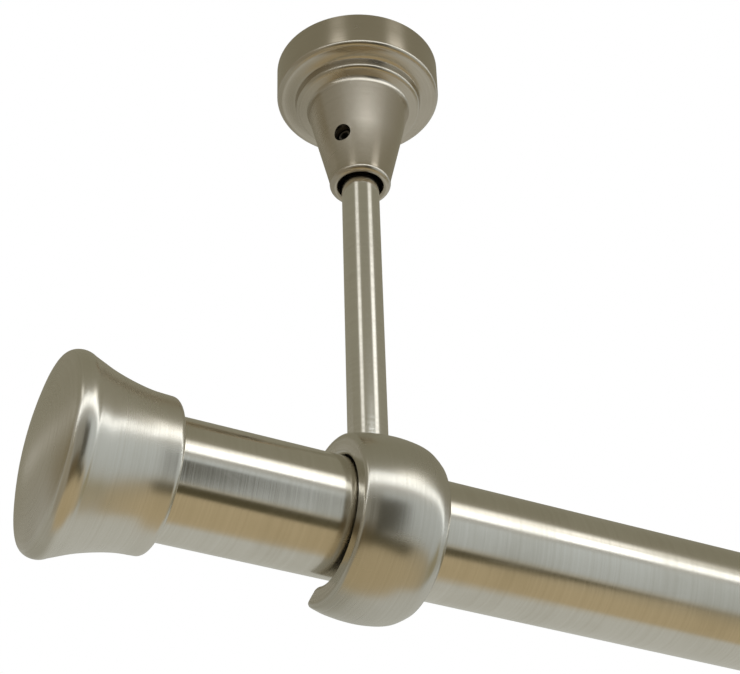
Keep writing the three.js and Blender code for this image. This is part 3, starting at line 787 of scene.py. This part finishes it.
def ring_mesh(name, left, right, ring_radius, columns=170, cap_rows=6):
    """The barrel's outline swept from the arm's end to the lip's end, both of them rounded over."""
    curve = lip_curve(ring_radius)
    outer, bore = ring_outline(left, right, ring_radius)
    outline = outer + bore
    middle = ((left + right) / 2, (ring_radius + RING_BORE) / 2 - 0.4)
    half = ((right - left) / 2, (ring_radius - RING_BORE) / 2)

    def inset(point, amount):
        return tuple(c + (v - c) * (1.0 - amount / h) for v, c, h in zip(point, middle, half))

    def spot(point, along, back, bm):
        x, r = point
        first = ARM_END + math.degrees(back[0] / r)
        last = 360.0 + lip_angle(curve, r) - math.degrees(back[1] / r)
        a = math.radians(first + (last - first) * along)
        return bm.verts.new((x * MM, r * MM * math.sin(a), -r * MM * math.cos(a)))

    bm = bmesh.new()
    rounding = [(EDGE_ROUND * (1.0 - math.sin(math.radians(a))),
                 EDGE_ROUND * (1.0 - math.cos(math.radians(a)))) for a in (0, 18, 36, 54, 72)]
    rows = []
    for amount, back in rounding:
        rows.append([spot(inset(p, amount), 0.0, (back, 0.0), bm) for p in outline])
    for i in range(columns + 1):
        rows.append([spot(p, i / columns, (EDGE_ROUND, EDGE_ROUND), bm) for p in outline])
    for amount, back in reversed(rounding):
        rows.append([spot(inset(p, amount), 1.0, (0.0, back), bm) for p in outline])
    for low, high in zip(rows, rows[1:]):
        for i in range(len(outline)):
            j = (i + 1) % len(outline)
            bm.faces.new((low[i], low[j], high[j], high[i]))
    count = len(outer)
    for row, along in ((rows[0], 0.0), (rows[-1], 1.0)):
        lines = [row[:count]]
        for step in range(1, cap_rows):
            t = step / cap_rows
            line = []
            for i in range(count):
                a, b = inset(outer[i], EDGE_ROUND), inset(bore[count - 1 - i], EDGE_ROUND)
                line.append(spot((a[0] + (b[0] - a[0]) * t, a[1] + (b[1] - a[1]) * t),
                                 along, (0.0, 0.0), bm))
            lines.append(line)
        lines.append(list(reversed(row[count:])))
        for upper_line, lower_line in zip(lines, lines[1:]):
            for i in range(count - 1):
                bm.faces.new((upper_line[i], upper_line[i + 1], lower_line[i + 1], lower_line[i]))
    bmesh.ops.recalc_face_normals(bm, faces=bm.faces)
    finish_edges(bm)
    mesh = bpy.data.meshes.new(name)
    bm.to_mesh(mesh)
    bm.free()
    return mesh


for side in SIDES:
    low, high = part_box("rod_ring_" + side)
    stem_low, stem_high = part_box("stem_" + side)
    at = Vector(((stem_low.x + stem_high.x) / 2, rod_axis.y, (low.z + high.z) / 2))
    stem_radius = (stem_high.y - stem_low.y) / 2 / MM
    ring_radius = (high.z - low.z) / 2 / MM
    ring = ring_mesh("rod_ring_barrel_" + side, (low.x - at.x) / MM, (high.x - at.x) / MM,
                     ring_radius)
    socket = rod_between(stem_radius + SOCKET_PLAY, STEM_SEAT, ring_radius + 3 * PAST, sides=96)
    screw_hole = turned("tool", [
        (0.0, RING_BORE / 2), (RING_HEAD_SINK, RING_BORE / 2), (RING_HEAD_SINK, HEAD_SEAT + 0.2),
        (SCREW_HOLE, HEAD_SEAT + 0.2 + RING_HEAD_SINK - SCREW_HOLE),
        (SCREW_HOLE, STEM_SEAT + PAST), (0.0, STEM_SEAT + PAST)], facets=48)
    clamp_hole = moved(rod_between(GRUB_HOLE, RING_BORE / 2, 2 * ring_radius),
                       stand_along(travel("clamp_screw_" + side)))
    ring = moved(carve(ring, socket, screw_hole, clamp_hole), Matrix.Translation(at))
    ring_nickel = plated_metal("turned_nickel_ring_" + side, at, X_AXIS, RING_BRIGHT, RING_DULL,
                               roughness=0.23, spread=0.08, lines_per_metre=1900.0,
                               line_depth=0.000008)
    place(ring, "brackets", "rod_ring_" + side, ring_nickel)


# ---- Ring screws: countersunk steel screws with a hexagon socket
# Each goes up through its ring from inside the bore and pulls the ring onto the end of the stem.
RING_SCREW_RADIUS = 2.2
RING_SCREW_HEAD = 4.4
RING_SCREW_FLATS = 3.0
RING_SOCKET_DEPTH = 2.0
HEAD_EDGE = 0.2
FINE_THREAD_DEPTH = 0.4
for side in SIDES:
    low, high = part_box("ring_screw_" + side)
    length = (high.z - low.z) / MM
    neck = HEAD_EDGE + RING_SCREW_HEAD - RING_SCREW_RADIUS
    shank = threaded_outline(RING_SCREW_RADIUS, neck, length, 0.1, 0.4)[2:]
    screw = turned("countersunk_screw_" + side, [
        (0.0, 0.0), (RING_SCREW_HEAD - 0.3, 0.0), (RING_SCREW_HEAD, HEAD_EDGE),
        (RING_SCREW_RADIUS, neck), *shank,
    ], facets=48, thread=(RING_SCREW_RADIUS, GRUB_PITCH, FINE_THREAD_DEPTH, neck + THREAD_START,
                          length - THREAD_START))
    screw = carve(screw, hexagon(RING_SCREW_FLATS, -PAST, RING_SOCKET_DEPTH))
    at = Vector(((low.x + high.x) / 2, (low.y + high.y) / 2, low.z))
    place(moved(screw, Matrix.Translation(at)), "brackets", "ring_screw_" + side,
          screw_steel)


# ---- End caps: turned, flared caps, satin nickel plated, that close both ends of the tube
# Each has a plain collar, a hollow flank, a well rounded rim and a slightly domed end face.
COLLAR_RADIUS = 17.7
CAP_BORE = 14.3
CAP_FLOOR = 20.3
RIM_AT = 22.6
RIM_ROUND = 2.0
RIM_STRETCH = 1.5
COLLAR_ROUND = 1.4
BORE_CHAMFER = 0.4
CAP_THREAD = 2.1
CAP_THREAD_DEPTH = 5.8
# Shares of the flare, and of the way from the collar to the rim, along the hollow flank.
FLANK_RUN = [(0.05, 0.265), (0.215, 0.465), (0.46, 0.664), (0.73, 0.82)]
# Shares of the way from the dome's edge to its middle.
DOME_RUN = (0.08, 0.17, 0.28, 0.4, 0.55, 0.7, 0.85, 0.95)


def cap_outline(rim_radius, length):
    flare = rim_radius - COLLAR_RADIUS
    flank = smooth_through([
        (COLLAR_RADIUS, 1.6),
        *[(COLLAR_RADIUS + flare * out, RIM_AT * along) for out, along in FLANK_RUN],
        (rim_radius - 0.586, RIM_AT - 2.12)], 5)
    rim = [(r, RIM_AT + (z - RIM_AT) * RIM_STRETCH)
           for r, z in arc(rim_radius - RIM_ROUND, RIM_AT, RIM_ROUND, -45, 78, 20)]
    edge, edge_at = rim[-1]
    crown = length - edge_at
    dome = [(edge * (1.0 - q), edge_at + crown * (1.0 - (1.0 - q) ** 2)) for q in DOME_RUN]
    return [
        (0.0, CAP_FLOOR), (CAP_BORE, CAP_FLOOR), (CAP_BORE, BORE_CHAMFER),
        (CAP_BORE + BORE_CHAMFER, 0.0), (COLLAR_RADIUS - 2.0, 0.0),
        *arc(COLLAR_RADIUS - COLLAR_ROUND, COLLAR_ROUND, COLLAR_ROUND, 270, 358, 8),
        *flank, *rim[1:], *dome, (0.0, length)]


cap_nickel = plated_metal("turned_nickel_end_cap", rod_axis, X_AXIS, NICKEL_BRIGHT, NICKEL_DULL,
                          roughness=0.24, spread=0.10, lines_per_metre=1700.0,
                          line_depth=0.000006)
cap_ends = {}  # for each side, the way out along the tube, and the middle of the cap's collar face
for side in SIDES:
    low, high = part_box("finial_shell_" + side)
    outwards = Vector((-1.0 if side == "left" else 1.0, 0.0, 0.0))
    collar = Vector((high.x if side == "left" else low.x, rod_axis.y, rod_axis.z))
    cap_ends[side] = (outwards, collar)
    cap = turned("end_cap_" + side, cap_outline((high.z - low.z) / 2 / MM, (high.x - low.x) / MM),
                 facets=256)
    cap = carve(cap, rod_between(CAP_THREAD, CAP_FLOOR - PAST, CAP_FLOOR + CAP_THREAD_DEPTH))
    cap = moved(cap, stand_along(outwards), Matrix.Translation(collar))
    place(cap, "finial_" + side, "finial_shell_" + side, cap_nickel)


# ---- End cap plugs: split black nylon sleeves that grip the inside of the tube
# A screw through the plug's floor holds each one to its cap.
def moulded_plastic(name, dark, light, roughness):
    """Injection-moulded nylon: fine spark-eroded grain with a little shine on the high spots."""
    material = bpy.data.materials.new(name)
    material.use_nodes = True
    tree = material.node_tree
    shader = tree.nodes["Principled BSDF"]
    spot = wire(tree, "ShaderNodeTexCoord").outputs["Object"]
    grain = wire(tree, "ShaderNodeTexNoise", Vector=spot, Scale=2400.0, Detail=3.0).outputs[0]
    marks = wire(tree, "ShaderNodeGroup", {"node_tree": handling_marks}, Position=spot)
    worn = wire(tree, "ShaderNodeMath", {"operation": "MAXIMUM"}, i0=marks.outputs["Scratches"],
                i1=marks.outputs["Dust"]).outputs[0]
    tone = wire(tree, "ShaderNodeMath", {"operation": "MULTIPLY_ADD"}, i0=worn, i1=0.6,
                i2=grain).outputs[0]
    colour = wire(tree, "ShaderNodeMix", {"data_type": "RGBA"}, Factor=tone,
                  A=dark + (1.0,), B=light + (1.0,)).outputs["Result"]
    rough = wire(tree, "ShaderNodeMath", {"operation": "MULTIPLY_ADD"}, i0=grain, i1=0.2,
                 i2=roughness - 0.1).outputs[0]
    bump = wire(tree, "ShaderNodeBump", Height=grain, Strength=0.6, Distance=0.00003)
    tree.links.new(colour, shader.inputs["Base Color"])
    tree.links.new(rough, shader.inputs["Roughness"])
    tree.links.new(bump.outputs[0], shader.inputs["Normal"])
    return material


NYLON_DARK = (0.012, 0.012, 0.013)
NYLON_LIGHT = (0.035, 0.035, 0.037)
black_nylon = moulded_plastic("black_nylon", NYLON_DARK, NYLON_LIGHT, roughness=0.5)
PLUG_WALL = 2.0
PLUG_FLOOR = 3.0
PLUG_SLOT = 2.0
PLUG_BASE = 20.0
PLUG_HOLE = 2.1
SLOT_STOP = 4.5  # solid length between the slots and the floor


def slot_cutter(width, thick, low, high, angle):
    """A flat cutting tool across +Z, turned about it, in mm and degrees."""
    bm = bmesh.new()
    bmesh.ops.create_cube(bm, size=1.0)
    mesh = bpy.data.meshes.new("tool")
    bm.to_mesh(mesh)
    bm.free()
    return moved(mesh, Matrix.Diagonal((width * MM, thick * MM, (high - low) * MM, 1.0)),
                 Matrix.Translation((0.0, 0.0, (low + high) / 2 * MM)),
                 Matrix.Rotation(math.radians(angle), 4, "Z"))


for side in SIDES:
    low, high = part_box("finial_plug_" + side)
    outwards, collar = cap_ends[side]
    radius = (high.z - low.z) / 2 / MM
    tip = PLUG_BASE - (high.x - low.x) / MM
    plug = turned("end_cap_plug_" + side, [
        (PLUG_HOLE, PLUG_BASE), (PLUG_HOLE, PLUG_BASE - PLUG_FLOOR),
        (radius - PLUG_WALL, PLUG_BASE - PLUG_FLOOR), (radius - PLUG_WALL, tip + 0.2),
        (radius - PLUG_WALL + 0.2, tip), (radius - 1.4, tip), (radius - 1.2, tip + 0.1),
        (radius - 0.1, tip + 2.8), (radius, tip + 3.2), (radius, PLUG_BASE - 0.3),
        (radius - 0.3, PLUG_BASE)], facets=128)
    slot_end = PLUG_BASE - PLUG_FLOOR - SLOT_STOP
    plug = carve(plug, *[slot_cutter(3 * radius, PLUG_SLOT, tip - PAST, slot_end, a)
                         for a in (0.0, 90.0)])
    plug = moved(plug, stand_along(outwards), Matrix.Translation(collar))
    place(plug, "finial_" + side, "finial_plug_" + side, black_nylon)


# ---- End cap screws: zinc-plated steel pan-head screws with a cross slot
# Each runs through the floor of its plug into the solid end of the cap.
CAP_SCREW_RADIUS = 1.8
CAP_SCREW_HEAD = 3.8
HEAD_HEIGHT = 2.4
CROSS_WIDTH = 4.2
CROSS_SLOT = 0.9
CROSS_DEPTH = 1.2
COARSE_PITCH = 0.9
for side in SIDES:
    low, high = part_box("finial_screw_" + side)
    outwards, collar = cap_ends[side]
    length = (high.x - low.x) / MM
    start = collar.x - high.x if side == "left" else low.x - collar.x
    shank = threaded_outline(CAP_SCREW_RADIUS, HEAD_HEIGHT, length, 0.1, 0.6)[2:]
    screw = turned("end_cap_screw_" + side, [
        (0.0, 0.0), (CAP_SCREW_HEAD - 1.4, 0.0), (CAP_SCREW_HEAD - 0.4, 0.55),
        (CAP_SCREW_HEAD, 1.2), (CAP_SCREW_HEAD, HEAD_HEIGHT), (CAP_SCREW_RADIUS, HEAD_HEIGHT),
        *shank,
    ], facets=48, thread=(CAP_SCREW_RADIUS, COARSE_PITCH, FINE_THREAD_DEPTH, HEAD_HEIGHT + 0.6,
                          length - 0.7))
    screw = carve(screw, *[slot_cutter(CROSS_WIDTH, CROSS_SLOT, -PAST, CROSS_DEPTH, a)
                           for a in (0.0, 90.0)])
    screw = moved(screw, stand_along(outwards), Matrix.Translation(collar + outwards * start))
    place(screw, "finial_" + side, "finial_screw_" + side, screw_steel)
